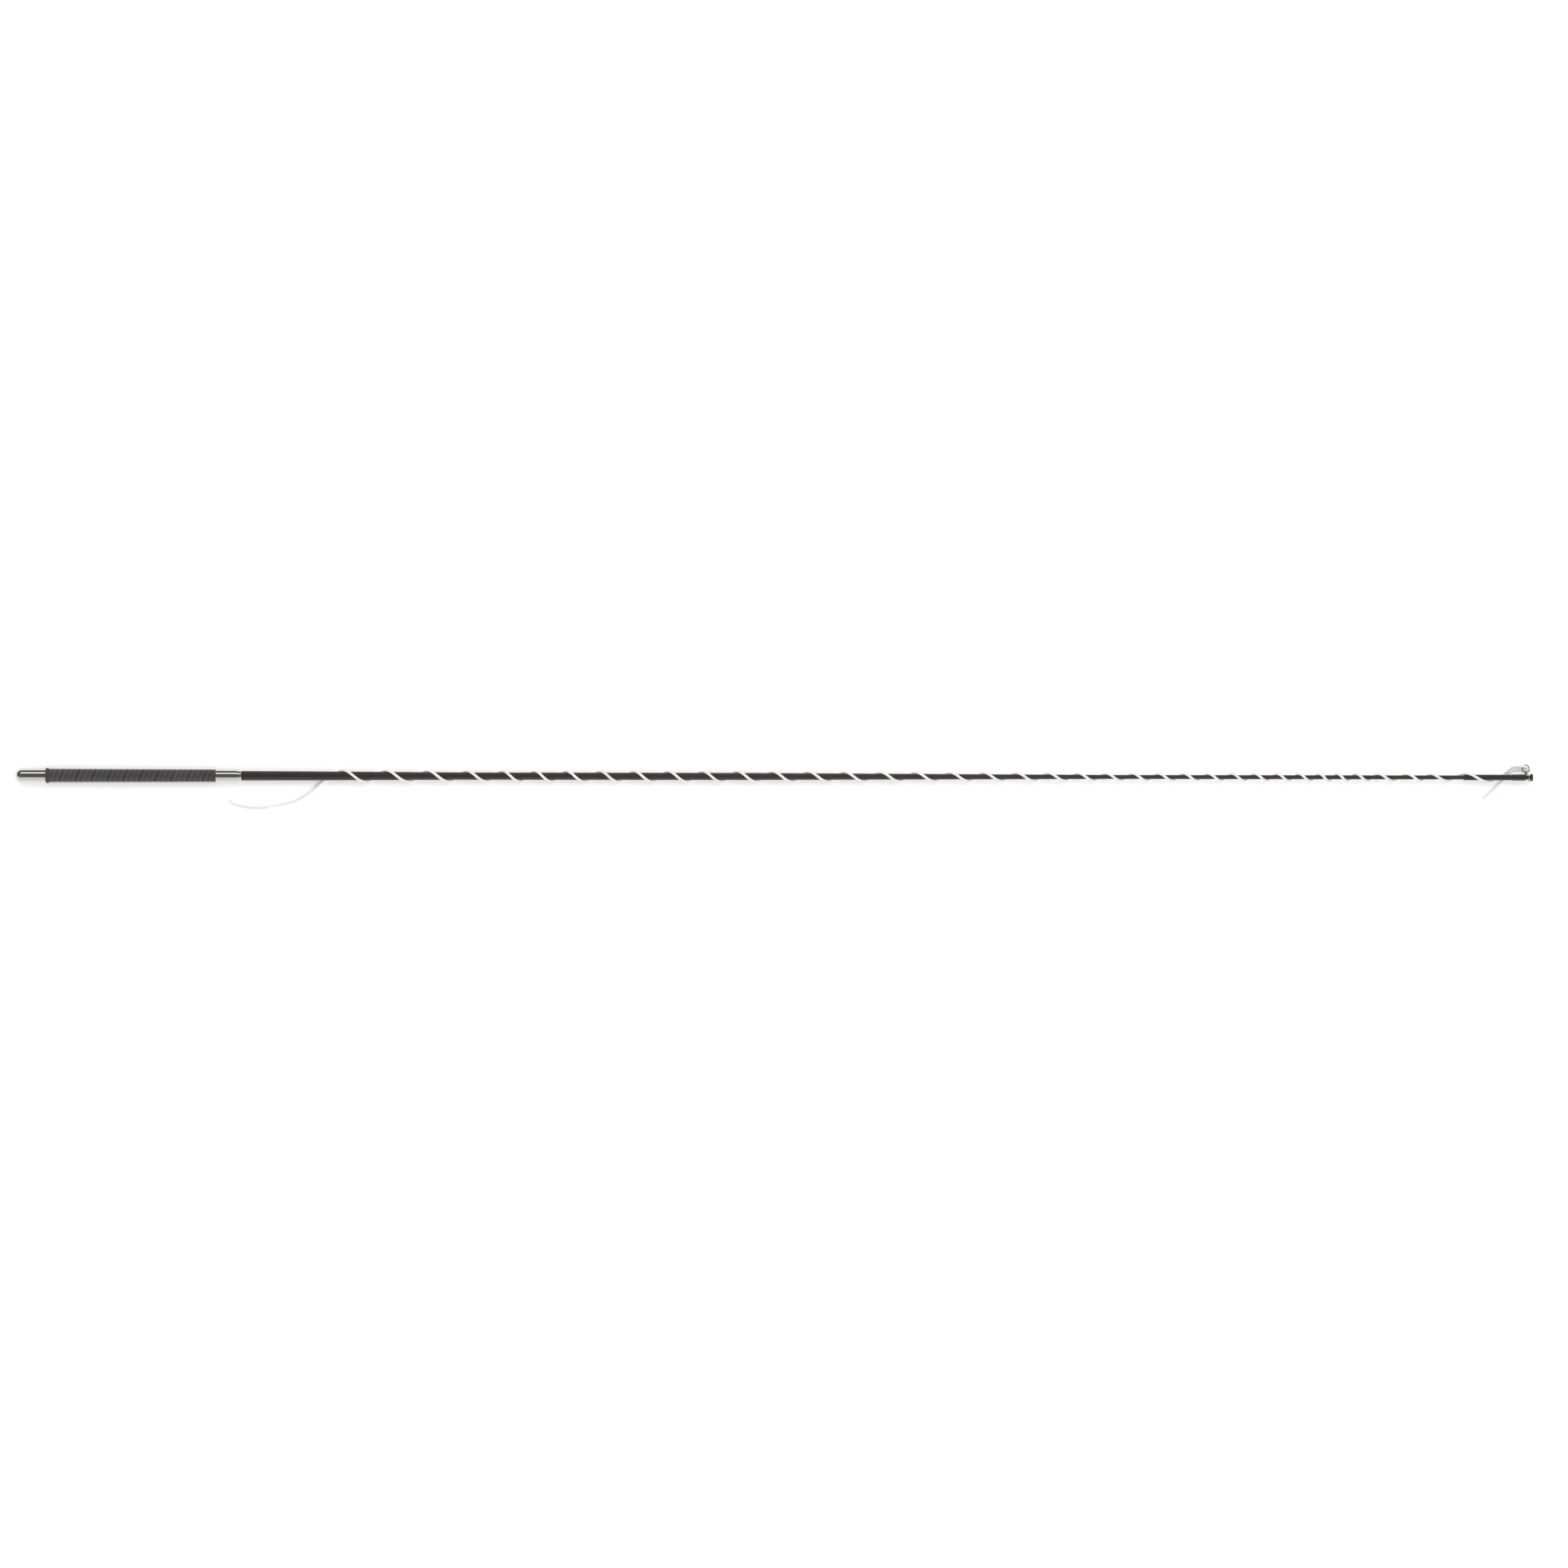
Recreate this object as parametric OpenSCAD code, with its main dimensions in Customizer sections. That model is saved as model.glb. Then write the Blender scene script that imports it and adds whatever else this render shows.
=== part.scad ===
// Lunge whip: a tapered glass-fibre stock in a braided cover, with a metal butt
// cap, a wound strip grip, a front ferrule and a swivel at the tip.  The white
// cord lash is tied to the swivel's bow and is wound along the stock for
// storage, and its last hand's breadth lies loose beside the handle.
// Millimetres.  +X runs from butt to tip along the stock's axis and +Z is up.
// The origin is on that axis, half way along the butt cap's straight wall.
// The whip lies on a flat surface below its collar, its cord and its bow.
// A station is a distance along the whip, counted from the end of the butt.

/* [Overall] */
// Length of the whip, from the butt to the end of the tip knob
whip_l = 1800; // [1500:10:2200]

/* [Butt cap] */
// Thickness of the plug between the cap and the stock
plug_t = 1.35; // [1:0.05:2.5]
// Length of the cap, with its dome
cap_l = 37; // [30:1:50]
// Length of the domed end
dome_l = 8; // [5:0.5:9]
// Thickness of the cap's wall
cap_wall = 0.8; // [0.5:0.1:1.5]
// Station where the balance weight ends and the plug begins
weight_end = 14; // [11:0.5:18]
// Height that the dark collar stands proud of the cap
collar_proud = 0.25; // [0.1:0.05:1]
// Length of the collar
collar_l = 2.8; // [2:0.2:5]

/* [Grip] */
// Length of the visible grip, from collar to front ferrule
grip_l = 198.8; // [150:0.2:260]
// Thickness of the wound strip
strip_t = 1.2; // [0.8:0.1:2]
// Thickness of the cloth tape under the strip
tape_t = 0.3; // [0.2:0.05:0.5]
// Distance between two ribs of the strip, along the grip
rib_pitch = 6.3; // [4:0.1:9]
// Width of the groove between two ribs
groove_w = 0.9; // [0.4:0.1:1.6]
// Depth of the groove between two ribs
groove_h = 0.4; // [0.2:0.1:0.6]
// Length of strip that is tucked into the ferrule
strip_tuck = 4; // [2:0.5:6]

/* [Front ferrule] */
// Length of the ferrule
ferrule_l = 30.2; // [24:0.2:40]
// Thickness of the rim at the ferrule's nose
nose_rim = 0.8; // [0.4:0.1:1.4]
// Length of the rounded nose
nose_l = 10; // [6:0.5:14]
// Thickness of the ferrule's wall
ferrule_wall = 0.7; // [0.5:0.1:1]

/* [Stock] */
// Stock diameter at the butt
butt_d = 12.9; // [12:0.1:14]
// Stock diameter where it leaves the ferrule
front_d = 11.3; // [10.5:0.1:12]
// Station of the shoulder, where the faster taper begins
shoulder_at = 345; // [320:5:380]
// Stock diameter at the shoulder
shoulder_d = 10.9; // [9.5:0.1:11]
// Station where the nearly straight middle begins
middle_at = 540; // [480:10:620]
// Stock diameter where the middle begins
middle_d = 8.8; // [8:0.1:9.4]
// Station where the middle ends
middle_end_at = 860; // [760:10:940]
// Stock diameter where the middle ends
middle_end_d = 8.6; // [7.6:0.1:9]
// Station where the thin end begins
thin_at = 1310; // [1150:10:1400]
// Stock diameter of the thin end
thin_d = 4.9; // [4.4:0.1:6]
// Thickness of the braided cover
cover_t = 0.8; // [0.5:0.1:1]
// Layer of glue between pieces that are bonded
glue = 0.05; // [0.03:0.01:0.1]

/* [Tip] */
// Length of the tip sleeve
sleeve_l = 58; // [40:1:80]
// Thickness of the tip sleeve
sleeve_t = 0.9; // [0.7:0.1:1.4]
// Distance from the sleeve's end to the end of the whip
socket_back = 24; // [21:0.5:28]
// Height that the tip socket stands proud of the sleeve
socket_step = 0.3; // [0.1:0.1:0.8]
// Depth of the rod's hole in the socket
socket_bore_l = 9; // [6:0.5:10]
// Diameter of the neck that the swivel ring runs on
neck_d = 4.6; // [4:0.1:5]
// Height of the knob over the hole of the ring that it holds back
knob_hold = 0.4; // [0.3:0.1:1.2]
// Length of the tip knob, without its flare
knob_l = 2.4; // [1.8:0.1:3.5]
// Length of the flare between neck and knob
flare_l = 1.2; // [0.8:0.1:1.4]
// Diameter of the post's shank inside the socket
shank_d = 2.4; // [2:0.1:2.8]
// Length of the post's shank inside the socket
shank_l = 5; // [3:0.5:6]

/* [Swivel] */
// Play of the swivel ring over the socket, on the radius
ring_play = 0.3; // [0.2:0.1:0.8]
// Diameter of the ring's wire
ring_wire_d = 1; // [0.8:0.1:1.2]
// Lean of the ring on the neck, in degrees
ring_lean = 27; // [20:1:30]
// Diameter of the swivel barrel
barrel_d = 3.6; // [3.4:0.1:4.4]
// Length of the swivel barrel
barrel_l = 2.5; // [2.2:0.1:3.4]
// Diameter of the bow's wire and of its shank
bow_wire_d = 1.2; // [1:0.1:1.4]
// Width of the bow, between the middles of its legs
bow_w = 8; // [7:0.2:10]
// Height of the bow, between the middles of its foot and its crown
bow_h = 8.4; // [7.6:0.2:11]
// Play of the bow's shank in the barrel, on the radius
shank_play = 0.05; // [0.02:0.01:0.1]
// Angle of the bow below the horizontal as it lies, in degrees
bow_drop = 22; // [0:1:25]

/* [Lash] */
// Diameter of the lash cord
cord_d = 3; // [2.5:0.1:3.6]
// Station where the winding begins, under the stock
wind_from = 376; // [360:2:420]
// Distance from the winding's end to the end of the whip
wind_back = 40; // [36:1:44]
// Gap that the swivelling eye keeps from the rest of the lash
eye_gap = 1; // [0.8:0.1:2]

/* [Hidden] */

round_fn = 96;
cord_sides = 8;
rings_a_turn = 10;
arc_steps = 16;
origin_at = (dome_l + cap_l) / 2;
cap_bore = butt_d / 2 + glue + plug_t + glue;
cap_r = cap_bore + cap_wall;
collar_r = cap_r + collar_proud;
ferrule_from = cap_l + collar_l + grip_l;
ferrule_end = ferrule_from + ferrule_l;
// Stock diameter against station, along the whole stock
STOCK = [
    [0, butt_d], [ferrule_end, front_d], [shoulder_at, shoulder_d],
    [middle_at, middle_d], [middle_end_at, middle_end_d],
    [thin_at, thin_d], [whip_l, thin_d]
];
strip_under = tape_t + 2 * glue;
strip_out = strip_under + strip_t;
ferrule_bore = stock_r(ferrule_from) + strip_out + glue;
ferrule_r = ferrule_bore + ferrule_wall;
nose_r = front_d / 2 + glue + nose_rim;
rod_from = weight_end + 0.2;
socket_from = whip_l - socket_back;
sleeve_from = socket_from - sleeve_l;
sleeve_r = thin_d / 2 + glue + sleeve_t;
socket_r = sleeve_r + socket_step;
ring_r = socket_r + ring_play + ring_wire_d / 2;
knob_r = ring_r - ring_wire_d / 2 + knob_hold;
neck_l = 2 * ring_r * sin(ring_lean);
knob_from = whip_l - knob_l;
neck_end = knob_from - flare_l;
neck_from = neck_end - neck_l;
socket_taper = 1.1;
rod_end = socket_from + socket_bore_l - 0.2;

// Turns of the winding against distance along it, at the standard length:
// wide turns near the handle, then even ones, then closer ones to the tip.
WINDING = [
    [-0.5, 0], [0, 26], [1, 77], [3, 171], [6, 288], [10, 450], [18, 783],
    [20, 859], [24, 988], [30, 1153], [34, 1249], [35, 1283], [36, 1312],
    [37, 1357], [37.5, 1384]
];

// Routes of the loose cord.  A point of the tail is [distance from the
// winding's start, y, height in cord diameters above lying flat].  The lead's
// and the short end's are [distance from the end of the whip, y from their side
// of the eye, height].  The eye's count from where it begins, and their height
// is 0 for lying flat and 1 for passing just over the bow.
TAIL = [
    [-6, -3, 0], [-12, -6.5, 0], [-19, -12.5, 0], [-26, -18.5, 0],
    [-34, -24, 0], [-44, -29.5, 0], [-55, -33, 0], [-66, -35.5, 0],
    [-77, -37, 0], [-86, -38, 0], [-95, -38, 0], [-103, -37, 0],
    [-111, -35.5, 0], [-118, -33, 0], [-123, -30, 0]
];
LEAD = [[-32, -7.5, 0.6], [-27, -2.8, 0.2], [-24.2, -0.4, 0.06], [-22.8, 0, 0], [-22, 0, 0]];
SHORT_END = [
    [-22, 0, 0], [-24, -0.9, 0], [-27, -3.8, 0], [-30, -7, 0], [-33, -10.6, 0],
    [-36.5, -14.6, 0], [-41, -18.8, 0], [-46, -23.4, 0], [-52, -28.8, 0], [-58.5, -34.6, 0]
];
EYE_OUT = [
    [0, 0, 0], [2, 0.2, 0.05], [4.5, 0.6, 0.4], [7.4, 0.7, 0.94],
    [10.4, 0.4, 1.06], [12.6, -0.5, 0.86], [13.8, -1.5, 0.6]
];
EYE_BACK = [[13.8, 1.4, 0.3], [11.8, 1, 0.04], [8, 0.6, 0], [4, 0.2, 0], [2, 0, 0], [0, 0, 0]];

// Swivel places.  The barrel stands on the top of the leaning ring, and the
// bow's foot stands off the barrel.
braze = 0.3;
barrel_from = ring_r * cos(ring_lean) + ring_wire_d / 2 - braze;
barrel_gap = 0.3;
barrel_wall = 0.6;
head_l = 0.6;
head_d = 2.1;
head_play = 0.2;
bow_foot = barrel_from + barrel_l + barrel_gap + bow_wire_d / 2;
bow_bend = 1.6;
bow_crown = bow_foot + bow_h - bow_w / 2;
ring_at = (neck_from + neck_end) / 2;
swivel_at = ring_at - ring_r * sin(ring_lean);

// x of a station
function at(s) = s - origin_at;
// stock radius at a station
function stock_r(s) = lookup(s, STOCK) / 2;
// stations from a to b, with every change of taper between them
function stations(a, b) = concat([a], [for (p = STOCK) if (p[0] > a && p[0] < b) p[0]], [b]);
// outline along the stock from a to b at a distance out from its surface
function along(a, b, out) = [for (s = stations(a, b)) [stock_r(s) + out, at(s)]];
function reversed(list) = [for (i = [len(list) - 1:-1:0]) list[i]];
// quarter ellipse from the axis at station s to radius r at station s + l
function dome(r, s, l) = [
    for (i = [0:arc_steps]) let (a = 90 * i / arc_steps) [r * sin(a), at(s + l * (1 - cos(a)))]
];

function unit(v) = v / norm(v);
// point on a smooth curve between b and c, at a share t of the way
function smooth(a, b, c, d, t) = 0.5 * (2 * b + (c - a) * t
    + (2 * a - 5 * b + 4 * c - d) * t * t + (3 * b - a - 3 * c + d) * t * t * t);
// the smooth curve through a list of points, with n steps between two of them
function curve(p, n) = let (m = len(p) - 1) concat(
    [for (i = [0:m - 1]) for (k = [0:n - 1])
        smooth(p[max(i - 1, 0)], p[i], p[i + 1], p[min(i + 2, m)], k / n)],
    [p[m]]
);
function heading(p, i) = unit(p[min(i + 1, len(p) - 1)] - p[max(i - 1, 0)]);

// Tube swept along the points p: each ring stands square to the curve, with
// its first corner turned towards the matching direction in up.
module cord(p, up) {
    n = cord_sides;
    last = len(p) - 1;
    corners = [
        for (i = [0:last])
            let (
                t = heading(p, i),
                a = unit(up[i] - t * (up[i] * t)),
                b = cross(t, a)
            )
            for (k = [0:n - 1])
                p[i] + (a * cos(360 * k / n) + b * sin(360 * k / n)) * cord_d / 2
    ];
    sides = [
        for (i = [0:last - 1])
            for (k = [0:n - 1])
                let (q = (k + 1) % n)
                for (f = [
                    [i * n + k, (i + 1) * n + k, (i + 1) * n + q],
                    [i * n + k, (i + 1) * n + q, i * n + q]
                ]) f
    ];
    first_end = [for (k = [1:n - 2]) [0, k, k + 1]];
    far_end = [for (k = [1:n - 2]) [last * n, last * n + k + 1, last * n + k]];
    polyhedron(corners, concat(sides, first_end, far_end));
}

// Solid of revolution about the stock's axis, from [radius, x] points
module lathe(outline) {
    rotate([0, 90, 0])
        rotate_extrude($fn = round_fn)
            polygon(outline);
}

// Carries the swivel from its own frame, with +Y out along the barrel, to its
// place on the neck, leaning down to one side
module on_neck() {
    translate([at(swivel_at), 0, 0])
        rotate([-bow_drop, 0, 0])
            children();
}

// Round bar along +Y from a to b
module bar(d, a, b) {
    translate([0, a, 0])
        rotate([-90, 0, 0])
            cylinder(d = d, h = b - a, $fn = round_fn);
}

// Part of a ring of wire in the XY plane, from an angle and through a turn
module bend(r, wire_d, from, turn) {
    rotate([0, 0, from])
        rotate_extrude(angle = turn, $fn = round_fn)
            translate([r, 0])
                circle(d = wire_d, $fn = 32);
}

// Tapered glass-fibre rod, the spring of the whip
module core_rod() {
    color("#c9c08f")
        lathe(concat(
            [[0, at(rod_from)]],
            along(rod_from, rod_end, -cover_t - glue),
            [[0, at(rod_end)]]
        ));
}

// Braided cover drawn over the rod
module braided_cover() {
    color("#3f3835")
        lathe(concat(
            along(rod_from, socket_from - glue, 0),
            reversed(along(rod_from, socket_from - glue, -cover_t))
        ));
}

// Thin polished cap over the end of the handle
module butt_cap() {
    color("#c9cbc6")
        lathe(concat(
            dome(cap_r, 0, dome_l),
            [[cap_r, at(cap_l)], [cap_bore, at(cap_l)]],
            reversed(dome(cap_bore, cap_wall, dome_l - cap_wall))
        ));
}

// Steel slug that brings the balance back to the hand
module butt_weight() {
    r = cap_bore - glue;
    inset = cap_wall + glue;
    color("#6f7275")
        lathe(concat(
            dome(r, inset, dome_l - inset),
            [[r, at(weight_end)], [0, at(weight_end)]]
        ));
}

// Plug that holds the cap on the stock
module butt_plug() {
    r = cap_bore - glue;
    a = weight_end + glue;
    b = cap_l - glue;
    color("#2b2b2b")
        lathe(concat(
            [[r, at(a)], [r, at(b)]],
            reversed(along(a, b, glue))
        ));
}

// Dark collar between the cap's mouth and the wound grip
module grip_collar() {
    r = collar_r;
    edge = 0.5;
    a = cap_l + glue;
    b = cap_l + collar_l;
    color("#2a2828")
        lathe(concat(
            [[r - edge, at(a)], [r, at(a + edge)], [r, at(b - edge)], [r - edge, at(b)]],
            reversed(along(a, b, glue))
        ));
}

// Cloth tape that the strip is laid on
module grip_tape() {
    a = cap_l + collar_l + glue;
    b = ferrule_from + strip_tuck;
    color("#1f1f1f")
        lathe(concat(
            along(a, b, glue + tape_t),
            reversed(along(a, b, glue))
        ));
}

// Ribbed strip wound on the handle, with the valleys between its ribs
module grip_strip() {
    a = cap_l + collar_l + glue;
    b = ferrule_from + strip_tuck;
    ribs = floor((grip_l - groove_w) / rib_pitch);
    valleys = [
        for (i = [1:ribs])
            let (s = a + i * rib_pitch)
            for (q = [
                [s - groove_w / 2, 0], [s - groove_w / 4, groove_h],
                [s + groove_w / 4, groove_h], [s + groove_w / 2, 0]
            ])
                [stock_r(q[0]) + strip_out - q[1], at(q[0])]
    ];
    color("#4a4849")
        lathe(concat(
            [[stock_r(a) + strip_out, at(a)]],
            valleys,
            [[stock_r(b) + strip_out, at(b)]],
            reversed(along(a, b, strip_under))
        ));
}

// Polished ferrule that covers the front end of the grip
module front_ferrule() {
    bore_end = ferrule_end - nose_l;
    rim_l = 2;
    color("#d6d5d2")
        lathe(concat(
            [[ferrule_r, at(ferrule_from)]],
            [for (i = [0:arc_steps]) let (t = i / arc_steps)
                [ferrule_r - (ferrule_r - nose_r) * t * t, at(bore_end + nose_l * t)]],
            reversed(along(ferrule_end - rim_l, ferrule_end, glue)),
            [[ferrule_bore, at(bore_end)], [ferrule_bore, at(ferrule_from)]]
        ));
}

// Bush that centres the ferrule on the stock
module ferrule_bush() {
    a = ferrule_from + strip_tuck + glue;
    b = ferrule_end - nose_l;
    r = ferrule_bore - glue;
    color("#2b2b2b")
        lathe(concat(
            [[r, at(a)], [r, at(b)]],
            reversed(along(a, b, glue))
        ));
}

// Black sleeve over the thin end of the stock
module tip_sleeve() {
    edge = 0.3;
    a = sleeve_from;
    b = socket_from - glue;
    color("#1d1b1c")
        lathe(concat(
            [[sleeve_r - edge, at(a)], [sleeve_r, at(a + edge)], [sleeve_r, at(b)]],
            reversed(along(a, b, glue))
        ));
}

// Black socket on the end of the rod, bored from both ends
module tip_socket() {
    rod_hole = thin_d / 2 - cover_t;
    post_hole = shank_d / 2 + glue;
    color("#171617")
        lathe([
            [socket_r, at(socket_from)],
            [socket_r, at(neck_from - socket_taper)],
            [neck_d / 2, at(neck_from)],
            [post_hole, at(neck_from)],
            [post_hole, at(neck_from - shank_l - glue)],
            [0, at(neck_from - shank_l - glue)],
            [0, at(socket_from + socket_bore_l)],
            [rod_hole, at(socket_from + socket_bore_l)],
            [rod_hole, at(socket_from)]
        ]);
}

// Post in the socket: the neck that the ring runs on, and the end knob
module tip_post() {
    edge = 0.9;
    color("#171617")
        lathe(concat(
            [
                [0, at(neck_from - shank_l)],
                [shank_d / 2, at(neck_from - shank_l)],
                [shank_d / 2, at(neck_from + glue)],
                [neck_d / 2, at(neck_from + glue)],
                [neck_d / 2, at(neck_end)],
                [knob_r, at(knob_from)]
            ],
            [for (i = [0:arc_steps / 2]) let (a = 180 * i / arc_steps)
                [knob_r - edge * (1 - cos(a)), at(whip_l - edge * (1 - sin(a)))]],
            [[0, at(whip_l)]]
        ));
}

// Wire ring that runs round the neck
module swivel_ring() {
    color("#8d8f91")
        translate([at(ring_at), 0, 0])
            rotate([-bow_drop, 0, 0])
                rotate([0, 90, ring_lean])
                    bend(ring_r, ring_wire_d, 0, 360);
}

// Barrel on the ring, hollow for the head of the bow's shank
module swivel_barrel() {
    seat = barrel_from + barrel_l - barrel_wall;
    hollow_d = head_d + 2 * head_play;
    color("#77797b")
        on_neck()
            difference() {
                bar(barrel_d, barrel_from, barrel_from + barrel_l);
                bar(hollow_d, seat - head_l - 2 * head_play, seat);
                bar(bow_wire_d + 2 * shank_play, seat - head_play, barrel_from + barrel_l + 1);
            }
}

// Bow that holds the lash, with its shank and head in the barrel
module swivel_bow() {
    head_top = barrel_from + barrel_l - barrel_wall - head_play;
    leg = bow_w / 2;
    color("#8d8f91")
        on_neck() {
            bar(head_d, head_top - head_l, head_top);
            bar(bow_wire_d, head_top - head_l / 2, bow_foot);
            translate([bow_bend - leg, bow_foot, 0])
                rotate([0, 90, 0])
                    cylinder(d = bow_wire_d, h = bow_w - 2 * bow_bend, $fn = round_fn);
            for (side = [-1, 1])
                translate([side * leg, 0, 0])
                    bar(bow_wire_d, bow_foot + bow_bend, bow_crown);
            translate([bow_bend - leg, bow_foot + bow_bend, 0])
                bend(bow_bend, bow_wire_d, 180, 90);
            translate([leg - bow_bend, bow_foot + bow_bend, 0])
                bend(bow_bend, bow_wire_d, 270, 90);
            translate([0, bow_crown, 0])
                bend(leg, bow_wire_d, 0, 180);
        }
}

// scale of the winding when the whip is longer or shorter
wind_scale = (whip_l - wind_back - wind_from) / WINDING[len(WINDING) - 1][1];
function wind_station(n) = wind_from + wind_scale * lookup(n, WINDING);
// radius of what the cord is wound on at a station
function wound_r(s) = s > sleeve_from - cord_d ? sleeve_r : stock_r(s);
// direction out from the axis at a turn: turn 0 is on top of the stock
function out_at(n) = let (a = 90 + 360 * n) [0, cos(a), sin(a)];
// radius of the cord's middle: chords between the rings just clear the stock
function wind_r(s) = (wound_r(s) + cord_d / 2 + glue) / cos(180 / rings_a_turn);
function wind_point(n) = [at(wind_station(n)), 0, 0] + out_at(n) * wind_r(wind_station(n));
first_turn = WINDING[0][0];
last_turn = WINDING[len(WINDING) - 1][0];
turns = [for (i = [0:(last_turn - first_turn) * rings_a_turn]) first_turn + i / rings_a_turn];
// the surface that the whip lies on, below its collar and its widest winding
floor_z = -max(collar_r, wind_r(wind_from) + cord_d / 2);
// point of a route, with its height counted from the surface
function routed(start, side, q) = [start + q[0], side + q[1], floor_z + cord_d * (0.5 + q[2])];
// sides of the eye, one strand out of the bow's crown and one within it
strand_gap = 0.4;
eye_side = bow_crown * cos(bow_drop) + (cord_d + strand_gap) / 2;
spare_side = eye_side - cord_d - strand_gap;
// height of the cord's middle as it passes just over the bow
over_gap = 0.1;
function over_bow(y) = (bow_wire_d + cord_d) / 2 / cos(bow_drop) + over_gap - y * tan(bow_drop);
// point of the eye, with its height shared between lying flat and over the bow
function eye_point(side, q) =
    let (y = side + q[1], flat = floor_z + cord_d / 2)
    [at(whip_l) + LEAD[len(LEAD) - 1][0] + eye_gap + q[0], y, flat + q[2] * (over_bow(y) - flat)];

// Cord wound along the stock, from under the handle end to under the sleeve
module lash_winding() {
    color("#f1efea")
        cord([for (n = turns) wind_point(n)], [for (n = turns) out_at(n)]);
}

// Loose end that lies beside the handle
module lash_tail() {
    p = curve(concat(
        [wind_point(first_turn)],
        [for (q = TAIL) routed(at(wind_from), 0, q)]
    ), 2);
    color("#f1efea")
        cord(p, [for (q = p) [0, 0, 1]]);
}

// Cord from under the sleeve to the side of the eye
module lash_lead() {
    start = wind_point(last_turn);
    hugging = [4, 2.4, 0.5];
    p = curve(concat(
        [start, start + hugging],
        [for (q = LEAD) routed(at(whip_l), eye_side, q)]
    ), 2);
    color("#f1efea")
        cord(p, [for (q = p) [0, 0, 1]]);
}

// Spare end that passes under the sleeve and lies on the other side
module lash_short_end() {
    p = curve([for (q = SHORT_END) routed(at(whip_l), spare_side, q)], 2);
    color("#f1efea")
        cord(p, [for (q = p) [0, 0, 1]]);
}

// Eye of the lash, round one leg of the bow
module lash_eye() {
    p = curve(concat(
        [for (q = EYE_OUT) eye_point(eye_side, q)],
        [for (q = EYE_BACK) eye_point(spare_side, q)]
    ), 2);
    color("#f1efea")
        cord(p, [for (q = p) [0, 1, 0]]);
}

core_rod();
braided_cover();
butt_cap();
butt_weight();
butt_plug();
grip_collar();
grip_tape();
grip_strip();
front_ferrule();
ferrule_bush();
tip_sleeve();
tip_socket();
tip_post();
swivel_ring();
swivel_barrel();
swivel_bow();
lash_eye();
lash_lead();
lash_winding();
lash_tail();
lash_short_end();
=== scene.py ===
"""A lunge whip: a tapered stock in a lacquered braid, with a chromed butt cap and
front ferrule, a wound ribbed grip, a wire swivel at the tip, and a white braided
lash wound on for storage.

It is laid out as an add-on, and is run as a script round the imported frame. Lengths
are metres, +X runs from the butt to the tip, and +Z is up from the floor.
"""

import math

import bmesh
import bpy
import numpy as np
from bpy.props import FloatProperty, FloatVectorProperty, IntProperty, PointerProperty
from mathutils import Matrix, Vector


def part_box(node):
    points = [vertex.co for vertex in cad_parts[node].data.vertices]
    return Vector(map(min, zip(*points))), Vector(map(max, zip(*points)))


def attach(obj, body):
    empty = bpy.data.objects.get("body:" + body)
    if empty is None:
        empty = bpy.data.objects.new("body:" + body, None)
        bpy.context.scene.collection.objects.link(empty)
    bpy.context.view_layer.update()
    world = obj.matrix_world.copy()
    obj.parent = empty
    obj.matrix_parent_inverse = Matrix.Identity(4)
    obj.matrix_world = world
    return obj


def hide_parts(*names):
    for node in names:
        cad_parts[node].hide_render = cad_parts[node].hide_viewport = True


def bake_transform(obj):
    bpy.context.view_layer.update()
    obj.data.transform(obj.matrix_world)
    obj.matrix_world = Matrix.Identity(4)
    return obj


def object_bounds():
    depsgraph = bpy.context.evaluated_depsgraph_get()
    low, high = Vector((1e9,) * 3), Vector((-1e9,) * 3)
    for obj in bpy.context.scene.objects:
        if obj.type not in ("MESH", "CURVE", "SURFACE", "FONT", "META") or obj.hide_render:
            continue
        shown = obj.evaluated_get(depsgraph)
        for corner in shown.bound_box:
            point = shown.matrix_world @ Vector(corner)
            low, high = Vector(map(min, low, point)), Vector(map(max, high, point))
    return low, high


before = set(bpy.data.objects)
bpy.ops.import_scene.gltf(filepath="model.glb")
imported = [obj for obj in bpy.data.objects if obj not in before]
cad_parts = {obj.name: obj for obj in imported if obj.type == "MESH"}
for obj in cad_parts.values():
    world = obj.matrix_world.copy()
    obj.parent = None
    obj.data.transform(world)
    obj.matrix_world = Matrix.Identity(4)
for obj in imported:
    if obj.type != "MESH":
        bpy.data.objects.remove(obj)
CAD_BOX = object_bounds()

bl_info = {
    "name": "Lunge Whip",
    "version": (1, 0, 0),
    "blender": (4, 5, 0),
    "location": "3D View > Sidebar > Whip",
    "description": "Builds a lunge whip with its lash wound on, piece by piece",
    "category": "Add Mesh",
}

TAU = 2 * math.pi
# Station of the frame's origin. A station counts from the butt's end.
ORIGIN = -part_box("butt_cap")[0].x
TIP_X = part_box("tip_post")[1].x
FLOOR_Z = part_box("grip_collar")[0].z
GLUE = 0.00005
CORD_D = 0.003
SLEEVE_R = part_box("tip_sleeve")[1].y
SLEEVE_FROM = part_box("tip_sleeve")[0].x + ORIGIN

# Stock: station and diameter
STOCK = np.array([
    [0, 0.0129], [0.2688, 0.0113], [0.345, 0.0109], [0.540, 0.0088],
    [0.860, 0.0086], [1.310, 0.0049], [1.800, 0.0049],
])

# Route of the lash. The winding is turns against the distance along it.
WIND_FROM = 0.376
WINDING = np.array([
    [-0.5, 0], [0, 0.026], [1, 0.077], [3, 0.171], [6, 0.288], [10, 0.450], [18, 0.783],
    [20, 0.859], [24, 0.988], [30, 1.153], [34, 1.249], [35, 1.283], [36, 1.312],
    [37, 1.357], [37.5, 1.384],
])
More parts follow.
